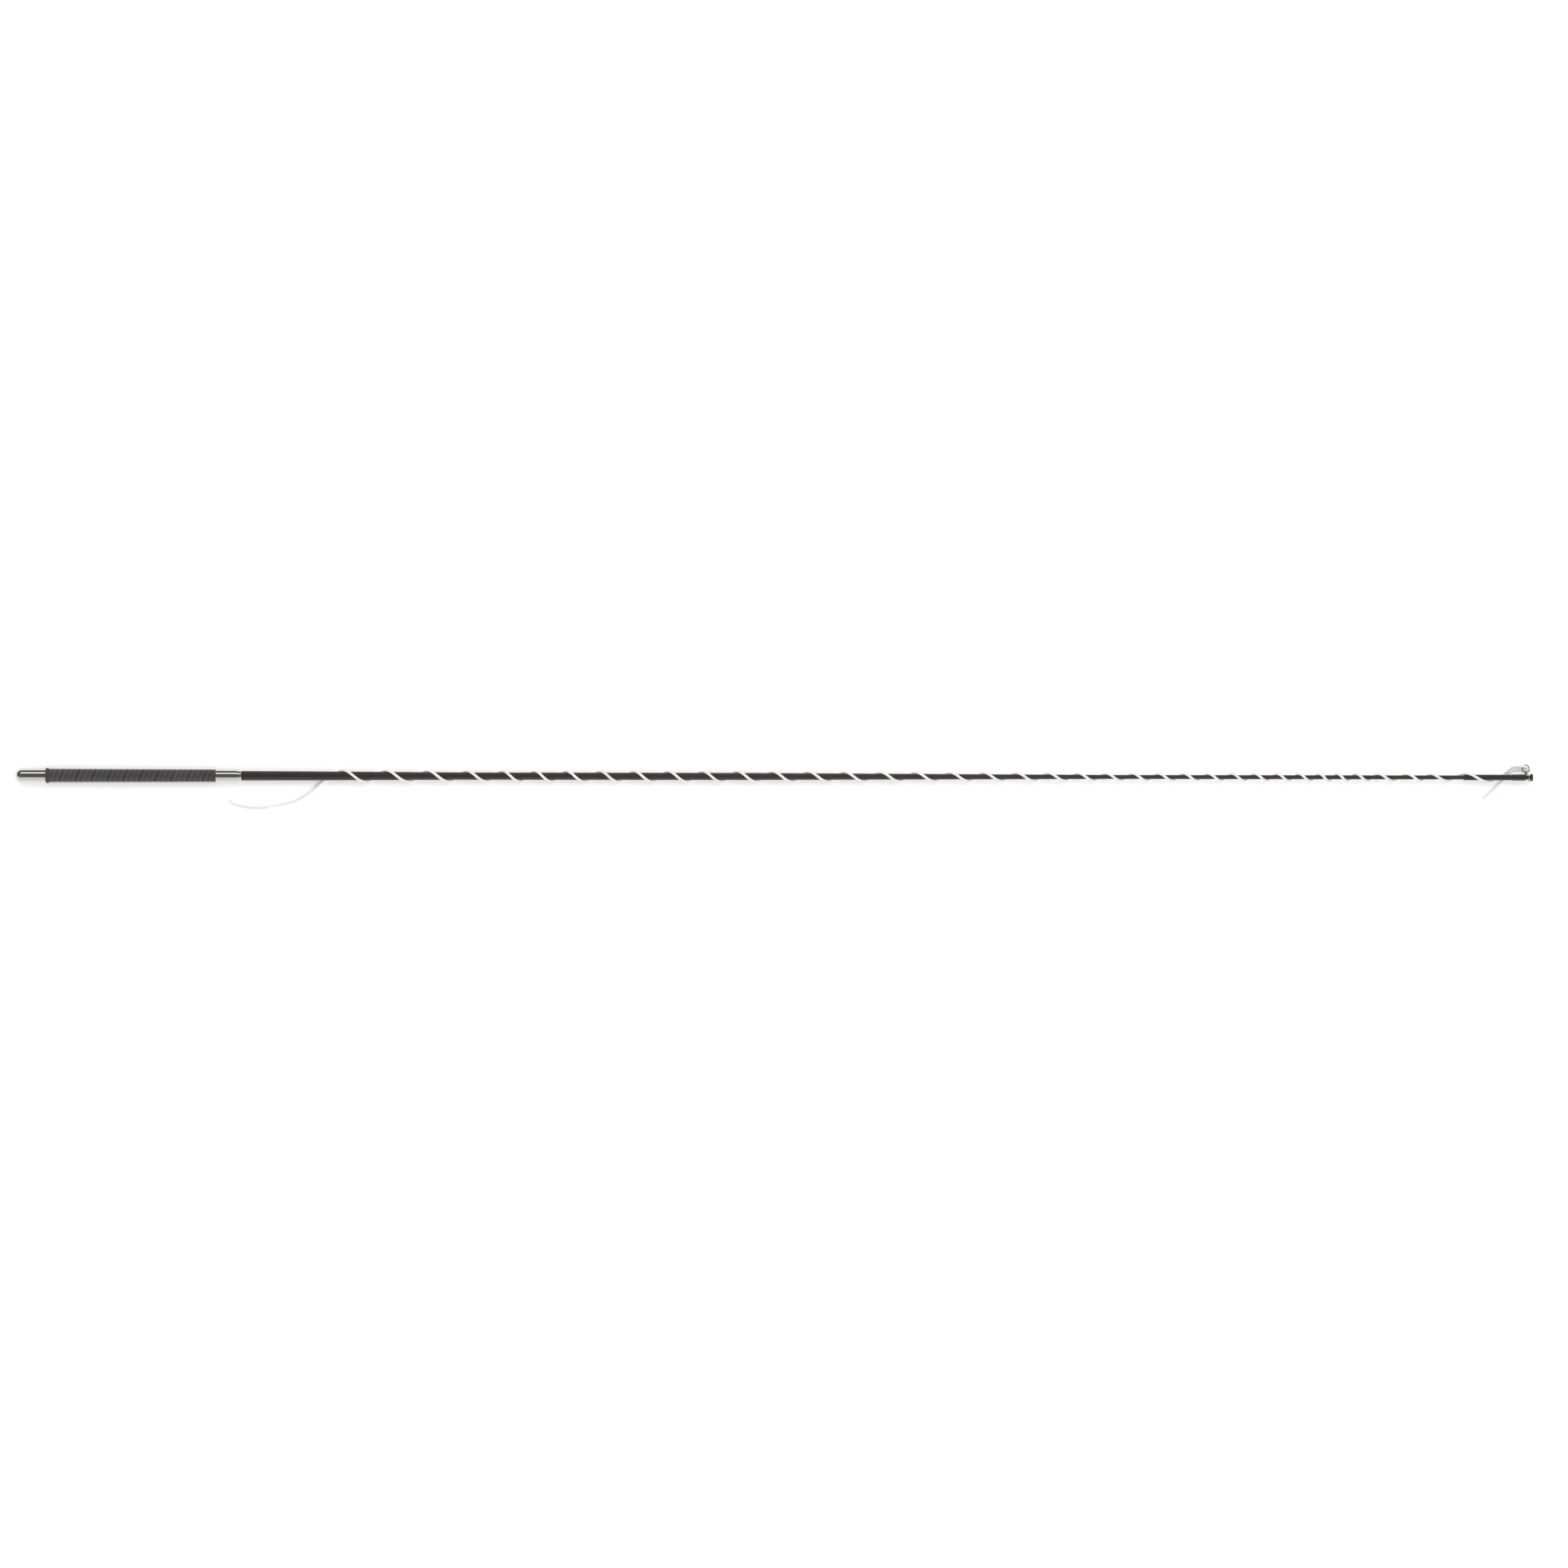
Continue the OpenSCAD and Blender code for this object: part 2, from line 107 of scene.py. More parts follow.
# The loose parts are x, y and a height. Heights of the tail, the lead and the short
# end are in cord diameters over lying flat, and the eye's run from 0, lying flat,
# to 1, passing just over the bow.
TAIL = np.array([
    [-0.006, -0.003, 0], [-0.012, -0.0065, 0], [-0.019, -0.0125, 0], [-0.026, -0.0185, 0],
    [-0.034, -0.024, 0], [-0.044, -0.0295, 0], [-0.055, -0.033, 0], [-0.066, -0.0355, 0],
    [-0.077, -0.037, 0], [-0.086, -0.038, 0], [-0.095, -0.038, 0], [-0.103, -0.037, 0],
    [-0.111, -0.0355, 0], [-0.118, -0.033, 0], [-0.123, -0.030, 0],
])
LEAD = np.array([
    [-0.032, -0.0075, 0.6], [-0.027, -0.0028, 0.2], [-0.0242, -0.0004, 0.06],
    [-0.0228, 0, 0], [-0.022, 0, 0],
])
SHORT_END = np.array([
    [-0.022, 0, 0], [-0.024, -0.0009, 0], [-0.027, -0.0038, 0], [-0.030, -0.007, 0],
    [-0.033, -0.0106, 0], [-0.0365, -0.0146, 0], [-0.041, -0.0188, 0], [-0.046, -0.0234, 0],
    [-0.052, -0.0288, 0], [-0.0585, -0.0346, 0],
])
EYE_OUT = np.array([
    [0.002, 0.0002, 0.05], [0.0045, 0.0006, 0.4], [0.0074, 0.0007, 0.94],
    [0.0104, 0.0004, 1.06], [0.0126, -0.0005, 0.86], [0.0138, -0.0015, 0.6],
])
EYE_BACK = np.array([
    [0.0138, 0.0014, 0.3], [0.0118, 0.001, 0.04], [0.008, 0.0006, 0], [0.004, 0.0002, 0],
    [0.002, 0, 0],
])
EYE_X = TIP_X - 0.021

# Swivel: a leaning ring on the neck, a barrel on its top, and the bow in the barrel
RING_R = 0.0045
RING_WIRE = 0.001
RING_LEAN = math.radians(27)
RING_X = 1.771857
SWIVEL_X = RING_X - RING_R * math.sin(RING_LEAN)
BOW_DROP = math.radians(22)
BOW_WIRE = 0.0012
BOW_W = 0.008
BARREL_FROM = RING_R * math.cos(RING_LEAN) + RING_WIRE / 2 - 0.0003
BARREL_TO = BARREL_FROM + 0.0025
BOW_FOOT = BARREL_TO + 0.0003 + BOW_WIRE / 2
BOW_CROWN = BOW_FOOT + 0.0084 - BOW_W / 2
EYE_SIDE = BOW_CROWN * math.cos(BOW_DROP) + (CORD_D + 0.0004) / 2
SPARE_SIDE = EYE_SIDE - CORD_D - 0.0004


# ---------------------------------------------------------------- shapes


def station(x):
    """Frame x of a station."""
    return np.asarray(x, float) - ORIGIN


def stock_radius(s):
    """Radius of the stock at a station: straight lines between the diameters of STOCK."""
    return np.interp(s, STOCK[:, 0], STOCK[:, 1]) / 2


def ease(t):
    """0 before 0 and 1 after 1, with the cubic 3t^2 - 2t^3 between."""
    t = np.clip(t, 0, 1)
    return t * t * (3 - 2 * t)


def unit(v):
    """Vectors divided by their lengths."""
    return v / np.linalg.norm(v, axis=-1, keepdims=True)


def eased(outline, reach, steps=5, closed=False):
    """An outline whose corners are rounded off. Each corner c becomes the parabola
    (1-t)^2 a + 2t(1-t) c + t^2 b between points a and b that stand `reach` before and
    after it, and no further than 0.45 of the side.
    """
    c = np.asarray(outline, float)
    before, after = np.roll(c, 1, 0), np.roll(c, -1, 0)
    reach = np.broadcast_to(reach, len(c))

    def towards(q):
        side = np.linalg.norm(q - c, axis=1)
        share = np.minimum(reach / np.maximum(side, 1e-12), 0.45)
        return c + (q - c) * share[:, None]

    a, b = towards(before)[:, None], towards(after)[:, None]
    t = np.linspace(0, 1, steps)[None, :, None]
    made = ((1 - t) ** 2 * a + 2 * t * (1 - t) * c[:, None] + t**2 * b).reshape(-1, 2)
    if closed:
        return made
    return np.concatenate([c[:1], made[steps:-steps], c[-1:]])


def divided(outline, longest, closed=False):
    """An outline with points added evenly on each side that is longer than `longest`."""
    p = np.asarray(outline, float)
    if closed:
        p = np.concatenate([p, p[:1]])
    sides = np.linalg.norm(np.diff(p, axis=0), axis=1)
    cuts = np.maximum(np.ceil(sides / longest).astype(int), 1)
    at = np.concatenate([[0], np.cumsum(1 / np.repeat(cuts, cuts))])
    made = np.stack([np.interp(at, np.arange(len(p)), p[:, k]) for k in (0, 1)], -1)
    return made[:-1] if closed else made


def lathe(outline, columns):
    """Rings about the stock's axis: each outline point (x, r) becomes
    (x, r cos a, r sin a) for the angles a of one turn.
    """
    x, r = np.asarray(outline, float).T
    a = TAU * np.arange(columns) / columns
    return np.stack([
        np.broadcast_to(x[:, None], (len(x), columns)),
        r[:, None] * np.cos(a), r[:, None] * np.sin(a),
    ], -1)


def tube(path, radius, columns, up, closed=False):
    """Circles square to a path: path + radius (a cos v + b sin v), where a is `up` made
    square to the path's direction and b is square to both.
    """
    if closed:
        ahead = np.roll(path, -1, 0) - np.roll(path, 1, 0)
    else:
        ahead = np.gradient(path, axis=0)
    t = unit(ahead)
    up = np.broadcast_to(up, path.shape)
    a = unit(up - t * np.sum(up * t, axis=1, keepdims=True))
    b = np.cross(t, a)
    v = (TAU * np.arange(columns) / columns)[None, :, None]
    radius = np.broadcast_to(radius, len(path))[:, None, None]
    return path[:, None] + radius * (a[:, None] * np.cos(v) + b[:, None] * np.sin(v))


def smooth_through(points, steps):
    """Catmull-Rom curve through the points, whose slope at each is half the way from
    the one before to the one after.
    """
    p = np.concatenate([points[:1], points, points[-1:]])
    a, b, c, d = (q[:, None] for q in (p[:-3], p[1:-2], p[2:-1], p[3:]))
    t = np.linspace(0, 1, steps, endpoint=False)[None, :, None]
    curve = 0.5 * (
        2 * b + (c - a) * t + (2 * a - 5 * b + 4 * c - d) * t**2 + (3 * b - a - 3 * c + d) * t**3
    )
    return np.concatenate([curve.reshape(-1, 3), points[-1:]])


def smooth_table(x, table):
    """Cubic curve through a table, with the table's own slope at each entry."""
    xs, ys = table.T
    slope = np.gradient(ys, xs)
    i = np.clip(np.searchsorted(xs, x) - 1, 0, len(xs) - 2)
    h = xs[i + 1] - xs[i]
    t = (x - xs[i]) / h
    return (
        ys[i] * (1 + 2 * t) * (1 - t) ** 2 + ys[i + 1] * t**2 * (3 - 2 * t)
        + h * (slope[i] * t * (1 - t) ** 2 - slope[i + 1] * t**2 * (1 - t))
    )


def distances(path):
    """Distance along a path at each of its points."""
    return np.concatenate([[0], np.cumsum(np.linalg.norm(np.diff(path, axis=0), axis=1))])


def even(path, other, step):
    """A path, and vectors that go with it, at equal steps of distance along it."""
    d = distances(path)
    at = np.linspace(0, d[-1], max(int(round(d[-1] / step)), 2) + 1)
    return [
        np.stack([np.interp(at, d, q[:, k]) for k in range(3)], -1) for q in (path, other)
    ]


def on_swivel(points):
    """Points from the swivel's own frame, +Y out along the barrel, to their place:
    turned by the bow's drop about X, then moved along the stock.
    """
    x, y, z = np.moveaxis(points, -1, 0)
    c, s = math.cos(BOW_DROP), math.sin(BOW_DROP)
    return np.stack([x + SWIVEL_X, y * c + z * s, z * c - y * s], -1)


def shell(points, around_u=False, around_v=True, u=None, crest=None):
    """One grid of points, rows along u and columns round v, as what add_piece joins.
    u is the real distance of each row, and v runs from 0 to 1.
    """
    rows, columns = points.shape[:2]
    i = np.arange(rows if around_u else rows - 1)[:, None]
    j = np.arange(columns if around_v else columns - 1)[None, :]
    i, j = np.broadcast_arrays(i, j)
    corners = [(i, j), (i + 1, j), (i + 1, j + 1), (i, j + 1)]
    faces = np.stack([(a % rows) * columns + b % columns for a, b in corners], -1)
    if u is None:
        middle = points.mean(axis=1) if around_v else points[:, 0]
        widest = np.abs(points - points.mean(axis=1, keepdims=True)).max(axis=(1, 2))
        u = distances(np.stack([middle[:, 0], middle[:, 1], middle[:, 2] + widest], -1))
    u = np.append(u, u[-1] + (u[-1] - u[-2]))
    uv = np.stack([np.stack([u[a], b / columns], -1) for a, b in corners], -2)
    faces, uv = faces.reshape(-1, 4), uv.reshape(-1, 4, 2)
    p = points.reshape(-1, 3)
    a, b, c, d = (p[faces[:, k]] - p[0] for k in range(4))
    volume = np.sum(np.cross(a, b) * c) + np.sum(np.cross(a, c) * d)
    if volume < 0:
        faces, uv = faces[:, ::-1], uv[:, ::-1]
    if crest is None:
        crest = np.ones((rows, columns))
    return {"points": p, "faces": faces, "uv": uv, "crest": crest.ravel()}


def add_piece(name, shells, material, body, nodes, sharp=35):
    """Joins shells into one mesh object at the origin, closes their poles, gives it its
    material, and makes it ride on a body in the place of its CAD nodes.
    """
    start = np.cumsum([0] + [len(s["points"]) for s in shells])
    mesh = bpy.data.meshes.new(name)
    mesh.from_pydata(
        np.concatenate([s["points"] for s in shells]).tolist(), [],
        np.concatenate([s["faces"] + k for s, k in zip(shells, start)]).tolist(),
    )
    layer = mesh.uv_layers.new(name="Surface")
    layer.data.foreach_set("uv", np.concatenate([s["uv"] for s in shells]).ravel())
    crests = np.concatenate([s["crest"] for s in shells]).astype(np.float32)
    crest = mesh.attributes.new("crest", "FLOAT", "POINT")
    crest.data.foreach_set("value", crests)
    work = bmesh.new()
    work.from_mesh(mesh)
    bmesh.ops.remove_doubles(work, verts=work.verts, dist=1e-7)
    work.to_mesh(mesh)
    work.free()
    mesh.polygons.foreach_set("use_smooth", np.ones(len(mesh.polygons), bool))
    mesh.set_sharp_from_angle(angle=math.radians(sharp))
    mesh.materials.append(material)
    piece = bpy.data.objects.new(name, mesh)
    bpy.context.scene.collection.objects.link(piece)
    if body:
        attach(piece, body)
    if nodes:
        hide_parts(*nodes)
    return piece


# ---------------------------------------------------------------- materials


def linear(code):
    """An sRGB hex colour as linear red, green, blue and alpha."""
    s = np.array([int(code[k:k + 2], 16) for k in (1, 3, 5)]) / 255
    return (*np.where(s <= 0.04045, s / 12.92, ((s + 0.055) / 1.055) ** 2.4), 1.0)


def add_node(tree, kind, inputs=None, **settings):
    """Adds a node, sets its settings, and fills its inputs with values or with the
    outputs of other nodes.
    """
    made = tree.nodes.new(kind)
    for name, value in settings.items():
        setattr(made, name, value)
    for name, value in (inputs or {}).items():
        if isinstance(value, bpy.types.NodeSocket):
            tree.links.new(value, made.inputs[name])
        else:
            made.inputs[name].default_value = value
    return made


def new_material(name, **constants):
    """A material with its Principled shader, whose constant values are set on it."""
    material = bpy.data.materials.new(name)
    material.use_nodes = True
    tree = material.node_tree
    shader = tree.nodes["Principled BSDF"]
    for key, value in constants.items():
        shader.inputs[key.replace("_", " ")].default_value = value
    return material, tree, shader


def speckle(tree, where, size, detail=2.0, stretch=(1, 1, 1)):
    """Noise whose grains are `size` metres across, on given coordinates, stretched."""
    scaled = add_node(tree, "ShaderNodeVectorMath", {0: where, 1: stretch}, operation="MULTIPLY")
    return add_node(tree, "ShaderNodeTexNoise", {
        "Vector": scaled.outputs[0], "Scale": 1 / size, "Detail": detail,
    }).outputs["Fac"]


def spread_to(tree, value, low, high, darkest=0.3, lightest=0.7):
    """A value taken from between darkest and lightest to between low and high."""
    return add_node(tree, "ShaderNodeMapRange", {
        "Value": value, "From Min": darkest, "From Max": lightest, "To Min": low, "To Max": high,
    }).outputs["Result"]


def mixed(tree, share, a, b):
    """Colour between a and b by a share."""
    return add_node(
        tree, "ShaderNodeMix", {0: share, 6: a, 7: b}, data_type="RGBA"
    ).outputs[2]


def bumped(tree, shader, height, depth, strength=1.0):
    """Sets the shader's normal from a height between 0 and 1 that is `depth` metres deep."""
    bump = add_node(tree, "ShaderNodeBump", {
        "Height": height, "Distance": depth, "Strength": strength,
    })
    tree.links.new(bump.outputs[0], shader.inputs["Normal"])


def braid(tree, strands, lay):
    """Height and gap of a plain braid on the piece's UV map. Strands of two hands run
    at a = u strands / lay + v strands and b = u strands / lay - v strands, each is an
    arch sin(pi a), and they pass over each other in turn, as whole(a) + whole(b) is
    even or odd.
    """
    uv = add_node(tree, "ShaderNodeUVMap", uv_map="Surface").outputs[0]
    part = add_node(tree, "ShaderNodeSeparateXYZ", {0: uv})
    along = add_node(
        tree, "ShaderNodeMath", {0: part.outputs[0], 1: strands / lay}, operation="MULTIPLY"
    ).outputs[0]
    around = add_node(
        tree, "ShaderNodeMath", {0: part.outputs[1], 1: strands}, operation="MULTIPLY"
    ).outputs[0]
    arches, wholes = [], []
    for hand in ("ADD", "SUBTRACT"):
        a = add_node(tree, "ShaderNodeMath", {0: along, 1: around}, operation=hand).outputs[0]
        wholes.append(add_node(tree, "ShaderNodeMath", {0: a}, operation="FLOOR").outputs[0])
        turn = add_node(tree, "ShaderNodeMath", {0: a, 1: math.pi}, operation="MULTIPLY")
        wave = add_node(tree, "ShaderNodeMath", {0: turn.outputs[0]}, operation="SINE")
        arches.append(
            add_node(tree, "ShaderNodeMath", {0: wave.outputs[0]}, operation="ABSOLUTE").outputs[0]
        )
    both = add_node(tree, "ShaderNodeMath", {0: wholes[0], 1: wholes[1]}, operation="ADD")
    odd = add_node(
        tree, "ShaderNodeMath", {0: both.outputs[0], 1: 2.0}, operation="FLOORED_MODULO"
    ).outputs[0]
    over = add_node(tree, "ShaderNodeMix", {0: odd, 2: arches[0], 3: arches[1]}).outputs[0]
    under = add_node(tree, "ShaderNodeMix", {0: odd, 2: arches[1], 3: arches[0]}).outputs[0]
    dip = add_node(tree, "ShaderNodeMath", {0: under, 1: 0.35, 2: 0.65}, operation="MULTIPLY_ADD")
    return add_node(
        tree, "ShaderNodeMath", {0: over, 1: dip.outputs[0]}, operation="MULTIPLY"
    ).outputs[0]


def polished_chrome():
    """Bright chrome plate on turned brass, buffed along its length: a mirror with a
    faint haze and hair lines.
    """
    material, tree, shader = new_material("polished_chrome_plate", Metallic=1.0)
    where = add_node(tree, "ShaderNodeTexCoord").outputs["Object"]
    haze = speckle(tree, where, 0.006, 3, (0.4, 1, 1))
    lines = speckle(tree, where, 0.0003, 2, (0.03, 1, 1))
    colours = bpy.context.scene.whip_colours
    tree.links.new(
        mixed(tree, haze, tuple(colours.chrome), linear("#D5D4D0")), shader.inputs["Base Color"]
    )
    tree.links.new(spread_to(tree, haze, 0.05, 0.13), shader.inputs["Roughness"])
    bumped(tree, shader, lines, 0.000004, 0.5)
    return material


def drawn_steel_wire():
    """Steel wire, drawn and left bare: grey with a soft shine, and darker where it has
    tarnished.
    """
    material, tree, shader = new_material("drawn_steel_wire", Metallic=1.0)
    where = add_node(tree, "ShaderNodeTexCoord").outputs["Object"]
    tarnish = spread_to(tree, speckle(tree, where, 0.0018, 3), 0, 1, 0.4, 0.62)
    colours = bpy.context.scene.whip_colours
    tree.links.new(
        mixed(tree, tarnish, tuple(colours.wire), linear("#5E5955")), shader.inputs["Base Color"]
    )
    tree.links.new(spread_to(tree, tarnish, 0.24, 0.42, 0, 1), shader.inputs["Roughness"])
    bumped(tree, shader, speckle(tree, where, 0.00012), 0.00001, 0.4)
    return material


def lacquered_braid():
    """Fine dark brown nylon braid under a thin lacquer: small diamonds that catch the
    light, and a soft shine over them, with painted shade darkening the dips between
    strands. A strand is 0.7 mm wide, about twice the real one, which is too fine to show.
    """
    material, tree, shader = new_material(
        "lacquered_nylon_braid", Coat_Weight=0.2, Coat_Roughness=0.3
    )
    where = add_node(tree, "ShaderNodeTexCoord").outputs["Object"]
    weave = braid(tree, 32, 0.046)
    colours = bpy.context.scene.whip_colours
    place = add_node(tree, "ShaderNodeSeparateXYZ", {0: where}).outputs[0]
    ground = mixed(
        tree, spread_to(tree, place, 0, 1, 0.2, 1.3), tuple(colours.braid), linear("#392A29")
    )
    worn = spread_to(tree, speckle(tree, where, 0.012, 4), 0, 0.35, 0.45, 0.75)
    ground = mixed(tree, worn, ground, linear("#3D2F2C"))
    # Painted shade: the low places of the weave, between strands, are darkened to #1E1513
    tree.links.new(
        mixed(tree, spread_to(tree, weave, 0, 1, 0.05, 0.6), linear("#1E1513"), ground),
        shader.inputs["Base Color"],
    )
    tree.links.new(spread_to(tree, weave, 0.62, 0.42, 0, 1), shader.inputs["Roughness"])
    bumped(tree, shader, weave, 0.00012, 0.8)
    return material


def grained_strip():
    """Embossed vinyl strip with a fine leather grain: matt in its grooves, and smoother on
    its ribs, which are rubbed lighter in patches. The grooves are darkened as painted
    shade. The grain is 0.5 mm, drawn as it shows.
    """
    material, tree, shader = new_material("grained_vinyl_strip", Specular_IOR_Level=0.4)
    where = add_node(tree, "ShaderNodeTexCoord").outputs["Object"]
    crest = add_node(tree, "ShaderNodeAttribute", attribute_name="crest").outputs["Fac"]
    grain = add_node(
        tree, "ShaderNodeTexVoronoi", {"Vector": where, "Scale": 1 / 0.0006}
    ).outputs["Distance"]
    dust = speckle(tree, where, 0.0005, 2)
    rubbed = speckle(tree, where, 0.02, 3)
    colours = bpy.context.scene.whip_colours
    top = mixed(
        tree, spread_to(tree, dust, 0, 1, 0.42, 0.68), tuple(colours.strip), linear("#4B494A")
    )
    top = mixed(tree, spread_to(tree, rubbed, 0, 0.4, 0.4, 0.7), top, linear("#4C4948"))
    # Painted shade: where crest is low, in the grooves, the strip is darkened to #1C1A1B
    tree.links.new(mixed(tree, crest, linear("#1C1A1B"), top), shader.inputs["Base Color"])
    tree.links.new(spread_to(tree, crest, 0.8, 0.5, 0, 1), shader.inputs["Roughness"])
    bumped(tree, shader, grain, 0.0001, 0.6)
    return material


def moulded_rubber():
    """Black rubber, moulded and left matt, with a faint bloom."""
    material, tree, shader = new_material("moulded_rubber", Specular_IOR_Level=0.35)
    where = add_node(tree, "ShaderNodeTexCoord").outputs["Object"]
    bloom = speckle(tree, where, 0.003, 4)
    tree.links.new(
        mixed(tree, bloom, linear("#312B2B"), linear("#4C4545")), shader.inputs["Base Color"]
    )
    tree.links.new(spread_to(tree, bloom, 0.55, 0.75), shader.inputs["Roughness"])
    bumped(tree, shader, speckle(tree, where, 0.0002), 0.00002, 0.5)
    return material


def black_lacquer():
    """Black enamel lacquer over metal and binding: nearly black, smooth and half glossy,
    with a slight orange peel.
    """
    material, tree, shader = new_material(
        "black_enamel_lacquer", Coat_Weight=0.3, Coat_Roughness=0.15
    )
    where = add_node(tree, "ShaderNodeTexCoord").outputs["Object"]
    peel = speckle(tree, where, 0.0009, 2, (0.5, 1, 1))
    colours = bpy.context.scene.whip_colours
    tree.links.new(
        mixed(tree, peel, tuple(colours.tip), linear("#2E2324")), shader.inputs["Base Color"]
    )
    tree.links.new(spread_to(tree, peel, 0.3, 0.46), shader.inputs["Roughness"])
    bumped(tree, shader, peel, 0.00002, 0.5)
    return material


def braided_cord():
    """White braided nylon cord: eight strands each way round a soft core, a little
    sheen, and painted shade that greys it where the strands dip. A strand is 0.9 mm
    wide, as coarse as it needs to be to show.
    """
    material, tree, shader = new_material(
        "white_braided_nylon", Roughness=0.75, Sheen_Weight=0.25, Sheen_Roughness=0.4,
        Specular_IOR_Level=0.3, Subsurface_Weight=0.08, Subsurface_Scale=0.001,
    )
    where = add_node(tree, "ShaderNodeTexCoord").outputs["Object"]
    weave = braid(tree, 8, 0.0105)
    colours = bpy.context.scene.whip_colours
    handled = spread_to(tree, speckle(tree, where, 0.03, 4), 0, 0.6, 0.42, 0.7)
    top = mixed(tree, handled, tuple(colours.cord), linear("#E2DFD8"))
    # Painted shade: the low places of the weave, where strands dip, are greyed to #BDB8B0
    tree.links.new(
        mixed(tree, spread_to(tree, weave, 0, 1, 0.0, 0.5), linear("#BDB8B0"), top),
        shader.inputs["Base Color"],
    )
    bumped(tree, shader, weave, 0.00025, 0.9)
    return material


def glass_fibre():
    """Pultruded glass fibre, ground to its taper: straw coloured and cloudy, with the
    fibres as fine streaks along it.
    """
    material, tree, shader = new_material(
        "ground_glass_fibre", Subsurface_Weight=0.1, Subsurface_Scale=0.002
    )
    where = add_node(tree, "ShaderNodeTexCoord").outputs["Object"]
    streaks = speckle(tree, where, 0.0004, 3, (0.01, 1, 1))
    tree.links.new(
        mixed(tree, streaks, linear("#C9C08F"), linear("#A89C6B")), shader.inputs["Base Color"]
    )
    tree.links.new(spread_to(tree, streaks, 0.35, 0.6), shader.inputs["Roughness"])
    return material


def turned_steel():
    """Mild steel as it leaves the lathe: grey, with fine rings about its axis."""
    material, tree, shader = new_material("turned_mild_steel", Metallic=1.0)
    where = add_node(tree, "ShaderNodeTexCoord").outputs["Object"]
    rings = speckle(tree, where, 0.0004, 2, (1, 0.02, 0.02))
    tree.links.new(
        mixed(tree, rings, linear("#6F7275"), linear("#8B8E90")), shader.inputs["Base Color"]
    )
    tree.links.new(spread_to(tree, rings, 0.3, 0.5), shader.inputs["Roughness"])
    bumped(tree, shader, rings, 0.00001, 0.5)
    return material


def moulded_nylon():
    """Black nylon, injection moulded: satin, with a fine spark-eroded texture."""
    material, tree, shader = new_material("moulded_nylon", Roughness=0.5)
    where = add_node(tree, "ShaderNodeTexCoord").outputs["Object"]
    cloud = speckle(tree, where, 0.004, 3)
    tree.links.new(
        mixed(tree, cloud, linear("#2B2B2B"), linear("#363534")), shader.inputs["Base Color"]
    )
    bumped(tree, shader, speckle(tree, where, 0.00025), 0.00002, 0.5)
    return material


def cloth_tape():
    """Black cotton tape: a plain weave of 0.6 mm threads, matt and dry."""
    material, tree, shader = new_material(
        "woven_cotton_tape", Roughness=0.9, Specular_IOR_Level=0.2
    )
    where = add_node(tree, "ShaderNodeTexCoord").outputs["Object"]
    warp = add_node(tree, "ShaderNodeTexWave", {
        "Vector": where, "Scale": TAU / 0.0006 / 20, "Distortion": 0.4,
    })
    lint = speckle(tree, where, 0.001, 3)
    tree.links.new(
        mixed(tree, lint, linear("#161616"), linear("#2E2D2C")), shader.inputs["Base Color"]
    )
    bumped(tree, shader, warp.outputs["Fac"], 0.00005, 0.6)
    return material


def pale_paper():
    """White studio paper on a light table: matt, with a very faint tooth, and lit a
    little from below, so that shadows on it stay pale.
    """
    material, tree, shader = new_material(
        "white_studio_paper", Roughness=0.95, Specular_IOR_Level=0.1, Emission_Strength=0.08,
        Emission_Color=linear("#FFFFFF"),
    )
    where = add_node(tree, "ShaderNodeTexCoord").outputs["Object"]
    tooth = speckle(tree, where, 0.4, 3)
    tree.links.new(
        mixed(tree, tooth, linear("#F6F6F5"), linear("#FAFAF9")), shader.inputs["Base Color"]
    )
    return material


# ---------------------------------------------------------------- properties


class WhipSizes(bpy.types.PropertyGroup):
    """Sizes of the whip's finish that its CAD parts leave open."""

    rib_depth: FloatProperty(
        name="Rib groove depth", description="Depth of the groove between two ribs of the strip",
        default=0.0004, min=0.0001, max=0.0006, unit="LENGTH", precision=5,
    )
    edge_depth: FloatProperty(
        name="Strip edge depth",
        description="Depth of the groove where two turns of the strip meet",
        default=0.0008, min=0.0002, max=0.001, unit="LENGTH", precision=5,
    )
    strip_lead: FloatProperty(
        name="Strip lead", description="Distance that the strip moves along the grip in one turn",
        default=0.01885, min=0.012, max=0.03, unit="LENGTH", precision=5,
    )
    strip_ribs: IntProperty(
        name="Ribs", description="Number of ribs across the strip", default=3, min=1, max=5,
    )
    edge_round: FloatProperty(
        name="Edge rounding", description="How far the turned parts' edges are rounded off",
        default=0.0003, min=0.00005, max=0.001, unit="LENGTH", precision=5,
    )
    cord_step: FloatProperty(
        name="Cord step", description="Distance between two rings of points along the lash",
        default=0.0006, min=0.0003, max=0.002, unit="LENGTH", precision=5,
    )
    camera_height: FloatProperty(
        name="Camera height", description="Height of the camera over the stock",
        default=6.0, min=2.0, max=20.0, unit="LENGTH",
    )
    frame_width: FloatProperty(
        name="Frame width", description="Length along the stock that the camera takes in",
        default=1.8597, min=0.1, max=4.0, unit="LENGTH",
    )


